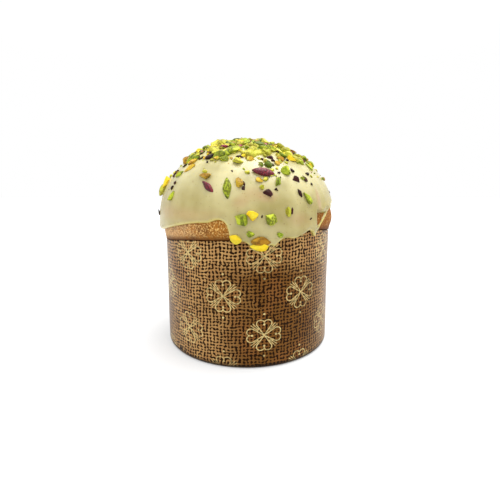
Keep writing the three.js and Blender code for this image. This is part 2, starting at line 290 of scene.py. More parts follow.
def make_baking_case():
    """The cup's section from the middle of its foot out, round the foot's quarter circle, up the
    wall, over the rim's half circle, down inside and in over the floor."""
    bearing = all_round(CASE_COLUMNS)
    rim = rim_height(bearing)
    corner = np.radians(np.arange(0, 91, CORNER_STEP))[:, None]
    up = np.linspace(0, 1, CASE_WALL_ROWS + 1)[1:, None]
    half_wall = CASE_WALL / 2
    flat = np.ones_like(bearing)
    foot_radius = (CASE_FOOT_RADIUS - FOOT_ROUNDING * (1 - np.sin(corner))) * flat
    foot_height = FOOT_ROUNDING * (1 - np.cos(corner)) * flat
    wall_height = mix(FOOT_ROUNDING, rim - half_wall, up)
    wall_radius = case_radius(wall_height) + paper_wave(bearing, wall_height) * (1 - up**RIM_EVENNESS)
    over = np.radians(np.arange(CORNER_STEP, 180, CORNER_STEP))[:, None]
    rim_radius = case_radius(rim) - half_wall * (1 - np.cos(over))
    rim_top = rim - half_wall * (1 - np.sin(over))
    down = np.linspace(0, 1, CASE_INNER_ROWS)[:, None]
    inner_height = mix(rim - half_wall, CASE_FLOOR + FOOT_ROUNDING, down)
    inner_radius = (case_radius(inner_height) - CASE_WALL) * flat
    floor_radius = (CASE_FOOT_RADIUS - CASE_WALL - FOOT_ROUNDING) * flat
    radius = np.concatenate([
        0 * flat, foot_radius, wall_radius, rim_radius, inner_radius, floor_radius, 0 * flat,
    ])
    height = np.concatenate([
        0 * flat, foot_height, wall_height, rim_top, inner_height, CASE_FLOOR * flat, CASE_FLOOR * flat,
    ])
    return round_solid("paper_baking_case", bearing, radius, height)


baking_case = make_baking_case()
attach(baking_case, "root")
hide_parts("baking_case")

# %% [markdown]
# The crust shows in a band at the left, at the right, and in one patch that the icing ran round.
# Its skin is leathery and finely wrinkled. The fine grain is bump in its material, and the
# larger unevenness is in the mesh. The attribute "low" is 1 at the rim, where the crust gets a
# painted shade as it curves in to the paper.

# %% The bread
BREAD_COLUMNS = 480
DOME_ROWS = 16
BAND_ROWS = 40
BAND_FALL = 75
WRINKLE = 0.14 / 3
WRINKLES = ((41, WRINKLE, 0, 0.9), (67, WRINKLE, 2, -0.7), (29, WRINKLE, 4, 0))
WRINKLES_FROM = 70
WRINKLES_GROW = 15
WRINKLES_FADE = 88
RIM_SHADE_BAND = 5.0


def crust_wave(bearing, fall):
    """The crust's wrinkles: crossing waves, strongest where the crust is bare."""
    grown = np.clip((fall - WRINKLES_FROM) / WRINKLES_GROW, 0, 1)
    return ripples(WRINKLES, np.radians(bearing), fall) * grown


def make_bread():
    """The bread's section from its middle below, up inside the case and over the dome, with the
    wrinkles fading to nothing at the rim."""
    bearing = all_round(BREAD_COLUMNS)
    rim = rim_height(bearing) + GAP
    flat = np.ones_like(bearing)
    dome = np.linspace(0, BAND_FALL, DOME_ROWS)[:, None] * flat
    band = mix(BAND_FALL, fall_of(rim), np.linspace(0, 1, BAND_ROWS + 1)[1:, None])
    fall = np.concatenate([dome, band])[::-1]
    fade = bump(np.clip((fall - WRINKLES_FADE) / (fall_of(rim) - WRINKLES_FADE), 0, 1))
    outer_radius, outer_height = section(bearing, fall, crust_wave(bearing, fall) * fade)
    inside = CASE_WALL + GAP
    floor = CASE_FLOOR + GAP
    inner = [
        (0 * flat, floor * flat),
        ((CASE_FOOT_RADIUS - inside - FOOT_ROUNDING) * flat, floor * flat),
        ((CASE_FOOT_RADIUS - inside) * flat, (floor + FOOT_ROUNDING) * flat),
        (case_radius(rim) - inside, rim),
    ]
    radius = np.concatenate([row[0] for row in inner] + [outer_radius])
    height = np.concatenate([row[1] for row in inner] + [outer_height])
    piece = round_solid("bread_crust", bearing, radius, height)
    # The attribute "low" carries a painted shade on the crust, strongest at the rim.
    low = np.clip(1 - (height - rim) / RIM_SHADE_BAND, 0, 1)
    paint(piece, "low", rounds(low))
    return piece


bread = make_bread()
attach(bread, "root")
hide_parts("bread")

# %% [markdown]
# At the right the icing ran round one patch of crust and left a thin strand beside it. A boolean
# cut would leave a sharp hole, and a distance to the patch's outline can give it the icing's own
# rounded edge. Distances are in millimetres on the bread, taken as flat there.

# %% The bare patch
DEGREE = BREAD_RADIUS * np.pi / 180
PATCH_CORNERS = ((-0.6, 2.4), (8.8, 1.5), (3.0, -4.7), (-0.7, -4.2))
PATCH = {"bearing": 45.2, "height": 76.7, "depth": 0.6, "lip_outside": 0.7, "lip_inside": -0.5}
STRAND = {"from": (9.5, 1.2), "to": (1.2, -7.0), "thinned": 0.6, "core": 2, "reach": 4.5}


def smooth_step(low, high, value):
    """0 below low, 1 above high and a smooth rise between them."""
    share = np.clip((value - low) / (high - low), 0, 1)
    return share * share * (3 - 2 * share)


def patch_place(bearing, fall):
    """Millimetres to the right of the bare patch's middle and above it: arc and height steps."""
    x = wrap(bearing - PATCH["bearing"]) * DEGREE
    return x, WIDE_HEIGHT - (fall - 90) * FALL_STEP - PATCH["height"]


def patch_distance(bearing, fall):
    """Distance to the bare patch, a four-sided figure: the farthest of its sides, less than 0
    inside."""
    x, y = patch_place(bearing, fall)
    farthest = -np.inf
    for i in range(len(PATCH_CORNERS)):
        (ax, ay), (bx, by) = PATCH_CORNERS[i], PATCH_CORNERS[(i + 1) % len(PATCH_CORNERS)]
        side = np.hypot(bx - ax, by - ay)
        across = ((x - ax) * (by - ay) - (y - ay) * (bx - ax)) / side
        farthest = np.maximum(farthest, -across)
    return farthest


def strand_share(bearing, fall):
    """How much of its thickness the icing keeps beside the bare patch, where only a thin strand
    of it ran down: less in the strand's core, all of it beyond the strand's reach."""
    x, y = patch_place(bearing, fall)
    (ax, ay), (bx, by) = STRAND["from"], STRAND["to"]
    length = np.hypot(bx - ax, by - ay)
    along = np.clip(((x - ax) * (bx - ax) + (y - ay) * (by - ay)) / length**2, 0, 1)
    off = np.hypot(x - ax - along * (bx - ax), y - ay - along * (by - ay))
    return 1 - STRAND["thinned"] * smooth_step(STRAND["reach"], STRAND["core"], off)


print("the bare patch is", PATCH["height"], "mm up at bearing", PATCH["bearing"])

# %% [markdown]
# Poured icing has a rounded lip wherever it stops, also along the side of a run. The thickness
# therefore depends on the shortest distance to its edge line and not on the distance downhill.
# A cloth or fluid simulation could pour it, but it wouldn't stop where this icing stopped. The
# attribute "thin" is 1 where the crust shines through and on a few patches of painted shade, and
# "rim" is 1 at the edge, where it carries a painted highlight.

# %% The icing's thickness
ICING = 1.75
LIP = 2.3
BEAD = 0.3
BEAD_WIDTH = 4.0
FLOW = 0.16
ICING_COLUMNS = 720
EDGE_REACH = 16
HOLLOW = ((51, 76, 5, 16, 0.5),)
FLOW_FALLS = (25, 75)
FLOW_EDGE = 5
# Most patches are thin icing over the crust, and a few low on the dome are painted shade.
THIN_AND_SHADE_PATCHES = (
    (3, 72, 12, 9, 0.75), (-4, 78, 7, 6, 0.7), (12, 74, 9, 6, 0.8), (-36, 85, 42, 8, 0.75),
    (47.5, 76, 4, 13, 1.5), (-62, 62, 10, 12, 0.45), (26, 86, 12, 7, 0.5), (110, 70, 18, 9, 0.6),
    (33, 88, 12, 8, 0.5), (-130, 74, 20, 8, 0.6), (170, 76, 22, 7, 0.7), (-58, 78, 22, 14, 0.35),
)


def distance_to_edge(fall):
    """The shortest distance in millimetres from each grid point to the edge line, taken over the
    pieces of that line in the nearest columns. The grid is columns by bearing."""
    step = 360 / ICING_COLUMNS * DEGREE
    edge = fall_of(edge_height(all_round(ICING_COLUMNS)[0]))
    nearest = np.full(fall.shape, np.inf)
    for offset in range(-EDGE_REACH, EDGE_REACH):
        x0 = offset * step
        y0 = (np.roll(edge, -offset) - fall) * FALL_STEP
        y1 = (np.roll(edge, -offset - 1) - fall) * FALL_STEP
        along = np.clip(-(x0 * step + y0 * (y1 - y0)) / (step**2 + (y1 - y0) ** 2), 0, 1)
        nearest = np.minimum(nearest, np.hypot(x0 + along * step, y0 + along * (y1 - y0)))
    return nearest


def icing_flow(bearing, fall):
    """Slow ridges that the icing made as it ran down, 7 and 13 round, and one hollow."""
    turn = np.radians(bearing)
    ridges = np.cos(7 * turn + 1.4 * np.cos(3 * turn)) + 0.7 * np.cos(13 * turn + 0.04 * fall)
    return FLOW * ridges * smooth_step(*FLOW_FALLS, fall) - hills(HOLLOW, bearing, fall)


def icing_lift(bearing, fall):
    """The icing's outside above the bread: a quarter-round lip at the edge, a slight bead behind
    it, the flow ridges, and a dip under the crust inside the bare patch."""
    near = distance_to_edge(fall)
    lip = np.clip(1 - near / LIP, 0, 1)
    body = ICING + icing_flow(bearing, fall) * smooth_step(0, FLOW_EDGE, near)
    bead = BEAD * bump((near - BEAD_WIDTH / 2) / BEAD_WIDTH)
    lift = GAP + (body + bead) * np.sqrt(1 - lip**2) * strand_share(bearing, fall)
    inside = smooth_step(PATCH["lip_outside"], PATCH["lip_inside"], patch_distance(bearing, fall))
    return mix(lift, -PATCH["depth"], inside)


print("the icing is", ICING, "mm thick with a lip of", LIP, "mm")

# %% [markdown]
# The icing is a shell round the dome. A sheet with the Solidify modifier would have a square
# edge, so the outside and the underside are one closed section instead, which turns at the edge
# line, with rows packed close for the lip.

# %% The icing
UNDERSIDE_ROWS = 18
OPEN_ROWS = 66
EDGE_ROWS = 30
EDGE_BAND = 8
EDGE_CROWDING = 0.8
UNDERSIDE_DROP = 0.4
UNDERSIDE_SUNK = (9, 6)
RIM_HIGHLIGHT_WIDTH = 1.6


def make_icing():
    """A closed shell: its underside follows the bread from crown to edge, its outside comes back
    at the icing's lift, with rows packed closer near the edge."""
    bearing = all_round(ICING_COLUMNS)
    edge = fall_of(edge_height(bearing))
    under_fall = edge * np.linspace(0, 1, UNDERSIDE_ROWS)[:, None]
    band = mix(edge - EDGE_BAND, edge, np.linspace(0, 1, EDGE_ROWS + 1)[:-1, None] ** EDGE_CROWDING)
    open_fall = (edge - EDGE_BAND) * np.linspace(0, 1, OPEN_ROWS + 1)[:-1, None]
    over_fall = np.concatenate([open_fall, band])[::-1]
    over_lift = icing_lift(bearing, over_fall)
    sunk = smooth_step(*UNDERSIDE_SUNK, patch_distance(bearing, under_fall))
    under_lift = mix(GAP, -PATCH["depth"] - UNDERSIDE_DROP, sunk)
    fall = np.concatenate([under_fall, over_fall])
    radius, height = section(bearing, fall, np.concatenate([under_lift, over_lift]))
    piece = round_solid("pistachio_icing", bearing, radius, height)
    # The attribute "thin" marks thin icing and also a few patches of painted shade.
    paint(piece, "thin", rounds(np.clip(hills(THIN_AND_SHADE_PATCHES, bearing, fall), 0, 1)))
    # The attribute "rim" carries a painted highlight along the icing's edge.
    paint(piece, "rim", rounds(bump(np.clip(distance_to_edge(fall) / RIM_HIGHLIGHT_WIDTH, 0, 1))))
    return piece


icing = make_icing()
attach(icing, "root")
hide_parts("icing")

# %% [markdown]
# A nut starts as an even ball of directions, set in a small frame of its own on the icing. The
# frame's first axis runs downhill, so that a listed piece can be turned as it lies, and a small
# random lean keeps the nuts from lying as flat as tiles. Vertex instancing could set a mesh on
# each place, but then all the nuts would be alike.

# %% Balls, and frames on the icing
def ball(level):
    """Directions and faces of an icosphere."""
    mesh = bmesh.new()
    bmesh.ops.create_icosphere(mesh, subdivisions=level, radius=1)
    directions = np.array([vertex.co for vertex in mesh.verts])
    faces = np.array([[vertex.index for vertex in face.verts] for face in mesh.faces])
    mesh.free()
    return directions / np.linalg.norm(directions, axis=1, keepdims=True), faces


def frames_on_icing(bearing, fall, turn):
    """Origins and axes on the icing's outside: the first axis points downhill and is turned by
    turn, the last points outwards."""
    radius, height = section(bearing, fall, GAP + ICING)
    origin = place(bearing, radius, height)
    downhill = place(bearing, *section(bearing, fall + 1, GAP + ICING)) - origin
    along = place(bearing + 1, *section(bearing + 1, fall, GAP + ICING)) - origin
    downhill /= np.linalg.norm(downhill, axis=1, keepdims=True)
    out = np.cross(downhill, along)
    out /= np.linalg.norm(out, axis=1, keepdims=True)
    across = np.cross(out, downhill)
    cos, sin = np.cos(np.radians(turn))[:, None], np.sin(np.radians(turn))[:, None]
    return origin, np.stack([cos * downhill + sin * across, cos * across - sin * downhill, out], axis=1)


def leaned(angles):
    """Small turns about the first and then the second axis, one matrix for each pair of angles."""
    (c0, c1), (s0, s1) = np.cos(angles).T, np.sin(angles).T
    none, one = np.zeros_like(c0), np.ones_like(c0)
    about_length = np.array([[one, none, none], [none, c0, s0], [none, -s0, c0]])
    about_width = np.array([[c1, none, -s1], [none, one, none], [s1, none, c1]])
    return about_width.transpose(2, 0, 1) @ about_length.transpose(2, 0, 1)


print("the finest ball has", len(ball(4)[1]), "triangles and the coarsest", len(ball(2)[1]))

# %% [markdown]
# The nuts were chopped with a knife, so each is a lump with a few flat cuts and some of its old
# round skin. A ball's radius in a direction is cut back to the nearest of several planes, which a
# chain of boolean cuts would do more slowly. All the nuts of one kind are worked out at once.

# %% Cutting nuts and chips
SINK = 0.36
MAX_THICKNESS = 4.2
FARTHEST_CUT = 0.9
LEAST_FACING = 0.02
FACET_SHARE = 0.55
SKIN_FACES = 0.36
NUT_FOOT_SHADE = (0.3, -0.1)


def cut_balls(random, directions, count, cuts, nearest, skin, upright):
    """Balls cut by planes: their points, the plane that cuts each point, and how near the point
    is to the skin. A radius is the least of the skin's and of each plane's depth over the cosine
    to it, and each ball is then stretched to reach 1 along every axis. Upright scales the upward
    part of the planes' normals, so that less of it gives a shard with steep sides."""
    normal = random.normal(size=(count, cuts, 3)) * (1, 1, upright)
    normal /= np.linalg.norm(normal, axis=2, keepdims=True)
    cut_depth = random.uniform(nearest, FARTHEST_CUT, size=(count, cuts, 1))
    planes = cut_depth / np.maximum(normal @ directions.T, LEAST_FACING)
    flat = planes.min(axis=1)
    local = directions[None] * np.minimum(flat, skin)[:, :, None]
    return local / np.abs(local).max(axis=1, keepdims=True), planes.argmin(axis=1), flat / skin


def tints_and_skins(random, cut_at, cuts, near_skin):
    """A tint for each point, FACET_SHARE of a draw for its cut face and the rest of a draw for
    its lump, and whether it is old skin: where no plane cuts it, and on SKIN_FACES of the faces."""
    count = len(cut_at)
    face_tint = np.take_along_axis(random.uniform(0, 1, (count, cuts)), cut_at, axis=1)
    tint = mix(random.uniform(0, 1, (count, 1)), face_tint, FACET_SHARE)
    skin_faces = random.uniform(0, 1, (count, cuts)) < SKIN_FACES
    face_skin = np.take_along_axis(skin_faces, cut_at, axis=1)
    return tint, np.maximum(smooth_step(FARTHEST_CUT, 1.0, near_skin), face_skin)


def chopped(
    pieces, level, seed, lean, thickness=0.66,
    cuts=11, nearest=0.42, skin=1.0, upright=1.0, pointed=0.45,
):
    """Points, faces, tints and skins of chopped lumps. Each piece is a row of bearing, fall,
    length, width, turn, and leans by a normal draw of lean degrees. Its thickness is a share of
    its width, and its ends are narrower by pointed times the square of the way along it. The
    skins also mark each lump's foot, as a painted shade where it sits on the icing."""
    table = np.array(pieces, float)
    bearing, fall, length, width, turn = table.T
    directions, faces = ball(level)
    random = np.random.default_rng(seed)
    local, cut_at, near_skin = cut_balls(random, directions, len(table), cuts, nearest, skin, upright)
    deep = np.minimum(MAX_THICKNESS, width * thickness)
    local[:, :, 1:] *= 1 - pointed * local[:, :, :1] ** 2
    local *= np.stack([length, width, deep], axis=1)[:, None, :] / 2
    local[:, :, 2] += (deep * (0.5 - SINK))[:, None]
    origin, axes = frames_on_icing(bearing, fall, turn)
    axes = leaned(np.radians(random.normal(0, lean, (len(table), 2)))) @ axes
    points = (origin[:, None, :] + local @ axes).reshape(-1, 3)
    shift = (np.arange(len(table)) * len(directions))[:, None, None]
    tint, skins = tints_and_skins(random, cut_at, cuts, near_skin)
    # Each lump's foot is marked as skin as well, a painted shade where it sits on the icing.
    foot = smooth_step(*NUT_FOOT_SHADE, local[:, :, 2] / deep[:, None])
    return points, (faces[None] + shift).reshape(-1, 3), tint.ravel(), np.maximum(skins, foot).ravel()


def joined_lumps(name, groups):
    """One piece from several groups of chopped lumps."""
    points, faces, tints, skins = zip(*groups)
    starts = np.cumsum([0] + [len(group) for group in points[:-1]])
    shifted = [group + start for group, start in zip(faces, starts)]
    piece = new_piece(name, np.concatenate(points), np.concatenate(shifted).tolist(), smooth=False)
    paint(piece, "tint", np.concatenate(tints))
    paint(piece, "skin", np.concatenate(skins))
    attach(piece, "root")
    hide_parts("icing")
    print(name, "has", len(piece.data.polygons), "triangles")
    return piece


print("a lump is sunk by", SINK, "of its thickness and is at most", MAX_THICKNESS, "mm thick")

# %% [markdown]
# The pieces that stand out at the front are listed by kind, with bearing, fall, length, width
# and turn from downhill, as a baker would set them one by one. A scatter of points could fill the
# front faster, but the few whole kernels there are what the eye knows the panettone by.

# %% The pieces at the front
GREEN_AT_FRONT = [
    (-54, 44.5, 9.2, 3.6, -27), (-51, 59, 4.4, 2.8, -30), (-49, 75, 5.6, 3.4, -20), (-52, 22, 5, 3, -34),
    (-13, 39, 7.4, 4.8, -64), (-16.5, 48, 4.6, 4, 60), (13, 26, 5, 3, 74), (21, 35, 7, 5, 75),
    (14.5, 52, 3.8, 3.6, 85), (9, 52, 2.8, 2, 56), (35, 34, 3.8, 2.6, 45),
    (25.5, 56.5, 5.2, 4.6, -66), (17.7, 64.7, 4.9, 2.8, -35), (37, 75, 6.8, 3.4, 37),
    (57, 51, 5.5, 2.8, 19), (12, 86.5, 6.4, 5, 60), (-2.8, 87.6, 7, 6.4, 55), (1, 93.2, 4.2, 2.8, 82),
    (17.2, 94, 3.4, 2.8, 40),
]
PALE_AT_FRONT = [
    (-49, 31.6, 4, 3, -34), (-33.5, 33.5, 4, 3.2, -60), (-6.2, 50.3, 5.2, 4.2, -83),
    (3.6, 37.5, 4.8, 3.2, -75), (22, 82.7, 4.6, 3, 8), (14, 60, 2.2, 1.7, 30),
    (0.3, 58.4, 3, 2, 78), (10.8, 63.4, 3, 2.2, -73), (8, 68.5, 2.4, 2.2, 75),
    (16, 56, 2, 1.6, 80), (18.4, 62.4, 2.4, 1.6, 10), (19.6, 54.5, 1.8, 1.4, 50), (12, 57, 1.6, 1.2, 0),
]
YELLOW_AT_FRONT = [
    (-10, 20, 6.6, 3.4, -79), (-2, 44, 3, 2, -82), (38.7, 44, 5.4, 3.4, 50), (2.3, 84, 5, 4.9, 90),
    (-5.7, 95.4, 5.8, 4.8, 80), (7.4, 100.2, 9.8, 4.4, 89), (-72, 65.6, 9.6, 6.8, -34),
]
GOLD_AT_FRONT = [
    (-45, 49, 5, 3.4, -50), (-43, 54.4, 6.4, 2.8, -52), (-26, 61, 6.2, 3.8, 89), (-21.5, 26, 7, 3.4, -60),
    (2, 47, 4.2, 2.8, 85), (-5, 66.3, 5.2, 4.2, 5), (6.7, 64, 3.4, 2.6, 53),
    (27.6, 45.5, 4.4, 3, 65), (22, 50, 3.2, 2.8, 85),
]
PURPLE_AT_FRONT = [(-22, 68.5, 7, 2.8, 50), (9.5, 58.3, 9.4, 3.9, 81), (-8, 31, 3.4, 2, -20)]
WHOLE_KERNELS = {
    "green": [(-10.8, 69.4, 10.4, 4.4, 6)], "gold": [(7.1, 97.9, 10, 5, 89)],
    "pale": [(-72.5, 69.8, 9.4, 6.2, -20)],
}
CHIPS_AT_FRONT = [
    (-53.5, 51.5, 3.2, 1.8, -40), (-60.5, 56.5, 6.4, 2.2, -22), (-60, 60, 2.6, 1.8, 50),
    (-52.7, 68.8, 2.8, 2, -40), (-71, 85.4, 3.8, 2.4, 0), (-49, 36, 2.8, 1.6, -25),
    (-38.4, 45, 3.4, 2.2, -25), (-29.7, 44.4, 5.6, 3.6, -66), (-5.3, 45.6, 5, 2, 61),
    (10.7, 47, 3.8, 1.8, 80), (16.4, 44.8, 4.2, 2.6, 74), (-9, 58.3, 1.9, 0.9, 27),
    (-1.8, 69.4, 2.3, 1.9, -30), (10.2, 71.7, 4.8, 4, -86), (19.3, 48.2, 3.2, 2.2, 67),
    (19.7, 58, 1.8, 1.4, -59), (31.7, 55.8, 4.8, 2.2, 31), (32, 61.8, 4.6, 3.8, -89),
    (39.3, 62.7, 4.2, 2.8, 21), (16.3, 69.6, 2, 1.3, 68), (31.2, 71.6, 4, 1.8, 41),
    (24.2, 82.8, 3.6, 1.6, -29), (15, 58, 1.2, 0.8, 30), (17.6, 60.5, 1, 0.7, 60),
    (20.4, 61, 1.3, 0.8, 15), (18.2, 64.5, 1, 0.8, 70), (13, 61.6, 1, 0.7, 20),
]
print("at the front lie", len(GREEN_AT_FRONT), "green pieces and", len(CHIPS_AT_FRONT), "chips")

# %% [markdown]
# The other large pieces lie on a golden-angle spiral, which covers a dome evenly without rows and
# closest at the crown. Draws decide their sizes, turns and which of them are chips.

# %% The spiral of large pieces
GOLDEN_ANGLE = 137.508
SCATTER = {"count": 128, "seed": 417, "wander": 14, "fall": 96, "crowding": 0.7}
SCATTER_SIZE = {"smallest": 3.4, "largest": 7.6, "mostly_small": 1.6, "narrowest": 0.5, "widest": 0.85}
SCATTER_FRONT = {"from": -80, "to": 66, "fall": 24}
CHIP_SHARE = 0.2
EDGE_MARGIN = 5
KIND_SHARES = (("green", 0.42), ("pale", 0.16), ("yellow", 0.14), ("gold", 0.2), ("purple", 0.08))
KIND_STEP = 0.618034


def draws(seed):
    """Seeded draws between 0 and 1, each the last state times 16807 modulo 2147483647."""
    state = seed
    while True:
        state = state * 16807 % 2147483647
        yield state / 2147483647


def kind_for(draw):
    """The kind of nut for a draw between 0 and 1, by the kinds' shares."""
    total = 0
    for kind, share in KIND_SHARES:
        total += share
        if draw < total:
            return kind
    return KIND_SHARES[0][0]


def scattered():
    """The spiral's pieces by kind: piece k lies k golden angles round, and its fall grows with a
    power of k."""
    draw = draws(SCATTER["seed"])
    kinds = {kind: [] for kind, _ in KIND_SHARES} | {"chip": []}
    for k in range(SCATTER["count"]):
        bearing = float(wrap(k * GOLDEN_ANGLE + SCATTER["wander"] * (next(draw) - 0.5)))
        fall = SCATTER["fall"] * ((k + 0.5) / SCATTER["count"]) ** SCATTER["crowding"]
        share = next(draw) ** SCATTER_SIZE["mostly_small"]
        length = mix(SCATTER_SIZE["smallest"], SCATTER_SIZE["largest"], share)
        width = length * mix(SCATTER_SIZE["narrowest"], SCATTER_SIZE["widest"], next(draw))
        turn = 360 * next(draw)
        chip = next(draw) < CHIP_SHARE
        at_front = SCATTER_FRONT["from"] < bearing < SCATTER_FRONT["to"] and fall > SCATTER_FRONT["fall"]
        on_icing = fall < fall_of(edge_height(bearing)) - EDGE_MARGIN
        if on_icing and not at_front:
            kind = "chip" if chip else kind_for(k * KIND_STEP % 1)
            kinds[kind].append((bearing, fall, length, width, turn))
    return kinds


spiral = scattered()
print("the spiral carries", {kind: len(pieces) for kind, pieces in spiral.items()})

# %% [markdown]
# Between the large pieces lie the crumbs of the chopping board, and on the crown a second layer
# of nuts. Blender's particles could strew them too, but with draws of our own a piece that would
# hide a listed chip can be left out.

# %% Crumbs and the crown's second layer
CRUMBS = {
    "count": 1300, "seed": 11, "crowding": 0.85, "smallest": 0.7, "largest": 3.4,
    "mostly_small": 1.5, "narrowest": 0.45, "widest": 0.95,
}
CROWN = {
    "count": 400, "seed": 5, "crowding": 0.6, "smallest": 3.3, "largest": 8.4,
    "mostly_small": 1, "narrowest": 0.5, "widest": 0.9,
}
CROWN_REACH = 47
CLEAR_FRONT = {"half_width": 75, "fall": 50, "kept": 0.25}
CLEAR_OF_PATCH = 2
CHIP_CLEARANCE = 3.4


def strewn(layer, kind_seed, share, reach, size=1):
    """Pieces of one kind strewn over a cap, and the generator of their draws: bearings at random,
    falls that grow with a power of the draw, and lengths between two limits by another power."""
    random = np.random.default_rng(layer["seed"] + kind_seed)
    count = int(layer["count"] * share)
    bearing = random.uniform(-180, 180, count)
    fall = reach * random.uniform(0, 1, count) ** layer["crowding"]
    large = random.uniform(0, 1, count) ** layer["mostly_small"]
    length = size * mix(layer["smallest"], layer["largest"], large)
    width = length * random.uniform(layer["narrowest"], layer["widest"], count)
    return np.stack([bearing, fall, length, width, random.uniform(0, 360, count)], axis=1), random


def crumbs(kind_seed, share, reach):
    """Small pieces of one kind, on the icing, and most of them left out at the front."""
    pieces, random = strewn(CRUMBS, kind_seed, share, reach)
    bearing, fall = pieces[:, :2].T
    in_front = (np.abs(bearing) < CLEAR_FRONT["half_width"]) & (fall > CLEAR_FRONT["fall"])
    kept = ~in_front | (random.uniform(0, 1, len(pieces)) < CLEAR_FRONT["kept"])
    above_edge = fall < fall_of(edge_height(bearing)) - EDGE_MARGIN
    return pieces[kept & above_edge & (patch_distance(bearing, fall) > CLEAR_OF_PATCH)]


def clear_of_chips(bearing, fall):
    """Whether a place is far enough from every chip listed at the front: the distance is the
    length of the step round, which shrinks with the sine of the fall, and the step down."""
    chip_bearing, chip_fall = np.array(CHIPS_AT_FRONT)[:, :2].T
    across = wrap(bearing[:, None] - chip_bearing) * np.sin(np.radians(fall))[:, None]
    away = np.hypot(across, fall[:, None] - chip_fall).min(axis=1)
    return away * DEGREE > CHIP_CLEARANCE


def crown_pieces(kind_seed, share, size):
    """The second layer on the crown, of one kind, clear of the listed chips."""
    pieces, _ = strewn(CROWN, kind_seed, share, CROWN_REACH, size)
    return pieces[clear_of_chips(*pieces[:, :2].T)]


print("there are", CRUMBS["count"], "crumbs and", CROWN["count"], "more nuts before any are left out")

# %% [markdown]
# Each kind of nut is one piece, because a piece has one finish here. The pieces at the front are
# seen closest and are cut from the finest balls, and the crumbs from the coarsest, which keeps
# the whole object light.

# %% The nuts and chips
FRONT_SIZE = 1.18
WHOLE_CUT = (0.66, 6, 0.78)
PURPLE_CUT = (0.7, 5, 0.8)
CHIP_CUT = (0.45, 5, 0.3, 1.7, 0.25, 0.0)
FINE, MIDDLE, COARSE = 4, 3, 2
LEANS = {"front": 7, "spiral": 12, "crown": 22, "crumbs": 15, "whole": 4}
KINDS = {
    "green": ("green_pistachios", "green_pistachio", GREEN_AT_FRONT, 1, 0.27, 62),
    "pale": ("pale_pistachios", "green_pistachio", PALE_AT_FRONT, 2, 0.46, 62),
    "yellow": ("yellow_pistachios", "golden_pistachio", YELLOW_AT_FRONT, 3, 0.07, 60),
    "gold": ("golden_pistachios", "golden_pistachio", GOLD_AT_FRONT, 4, 0.07, 60),
    "purple": ("purple_pistachios", "purple_pistachio", PURPLE_AT_FRONT, 5, 0.04, 56, 0.7, *PURPLE_CUT),
    "chip": ("dark_chips", "dark_chip", CHIPS_AT_FRONT, 6, 0.14, 90, 0.5, *CHIP_CUT),
}


def make_kind(kind, name, slot, at_front, seed, crumb_share, reach, crown_size=1, *cut):
    """One kind of nut: the front's pieces fine, the spiral's coarser, the crumbs coarsest. The
    cuts make a lump smaller than it is listed, so the front's are made larger by FRONT_SIZE. Whole
    kernels have few cuts, far from the middle, so that they stay almond shaped. A cut is given by
    what chopped takes from its thickness on."""
    at_front = np.array(at_front) * (1, 1, FRONT_SIZE, FRONT_SIZE, 1)
    groups = [
        chopped(at_front, FINE, seed, LEANS["front"], *cut),
        chopped(spiral[kind], MIDDLE, seed + 1, LEANS["spiral"], *cut),
        chopped(crown_pieces(seed, crumb_share, crown_size), MIDDLE, seed + 3, LEANS["crown"], *cut),
        chopped(crumbs(seed, crumb_share, reach), COARSE, seed + 2, LEANS["crumbs"], *cut),
    ]
    if kind in WHOLE_KERNELS:
        groups.append(chopped(WHOLE_KERNELS[kind], FINE, seed + 4, LEANS["whole"], *WHOLE_CUT))
    return joined_lumps(name, groups)


nuts = {kind: make_kind(kind, *values) for kind, values in KINDS.items()}

# %% [markdown]
# Materials are made from arithmetic on fields: numbers that vary over the surface. Each Math
# node does one step, and the class Field lets a formula be written as it is in a book, so that
# a flower's outline reads like its geometry.

# %% Fields
class Field:
    """A number that varies over a surface, held by a node's output socket."""

    def __init__(self, tree, socket):
        self.tree = tree
        self.socket = socket

    def do(self, operation, *others):
        """One step of arithmetic with other fields or plain numbers."""
        node = add_node(self.tree, "Math", dict(enumerate((self, *others))), operation=operation)
        return Field(self.tree, node.outputs[0])

    def __add__(self, other):
        return self.do("ADD", other)

    def __sub__(self, other):
        return self.do("SUBTRACT", other)

    def __mul__(self, other):
        return self.do("MULTIPLY", other)

    def __truediv__(self, other):
        return self.do("DIVIDE", other)

    def mapped(self, low, high, curve):
        """0 at low and 1 at high, held outside, with a Map Range node's curve between them."""
        limits = {"Value": self, "From Min": low, "From Max": high}
        node = add_node(self.tree, "MapRange", limits, interpolation_type=curve)
        return Field(self.tree, node.outputs["Result"])

    def step(self, low, high):
        """0 at low and 1 at high, smooth between them."""
        return self.mapped(low, high, "SMOOTHSTEP")

    def ramp(self, low, high):
        """0 at low and 1 at high, straight between them."""
        return self.mapped(low, high, "LINEAR")


def feed(tree, node, inputs):
    """Feeds a node's inputs, by name or number: each gets a field, another node's socket, a
    colour or a plain number."""
    for key, value in inputs.items():
        if isinstance(value, Field):
            value = value.socket
        if isinstance(value, bpy.types.NodeSocket):
            tree.links.new(value, node.inputs[key])
        elif isinstance(value, tuple):
            node.inputs[key].default_value = (*value, 1)
        else:
            node.inputs[key].default_value = value


def add_node(tree, kind, inputs, **settings):
    """A new shader node with its settings made and its inputs fed."""
    node = tree.nodes.new("ShaderNode" + kind)
    for name, value in settings.items():
        setattr(node, name, value)
    feed(tree, node, inputs)
    return node


print("a field's own steps are", [name for name in vars(Field) if not name.startswith("_")])

# %% [markdown]
# A material here starts as a Principled shader with its shine and ends when its colour and its
# bump are linked. Its colour is built as a painter would, in layers, each laid over the last with
# the share of a field, so that every finish below is one short function.

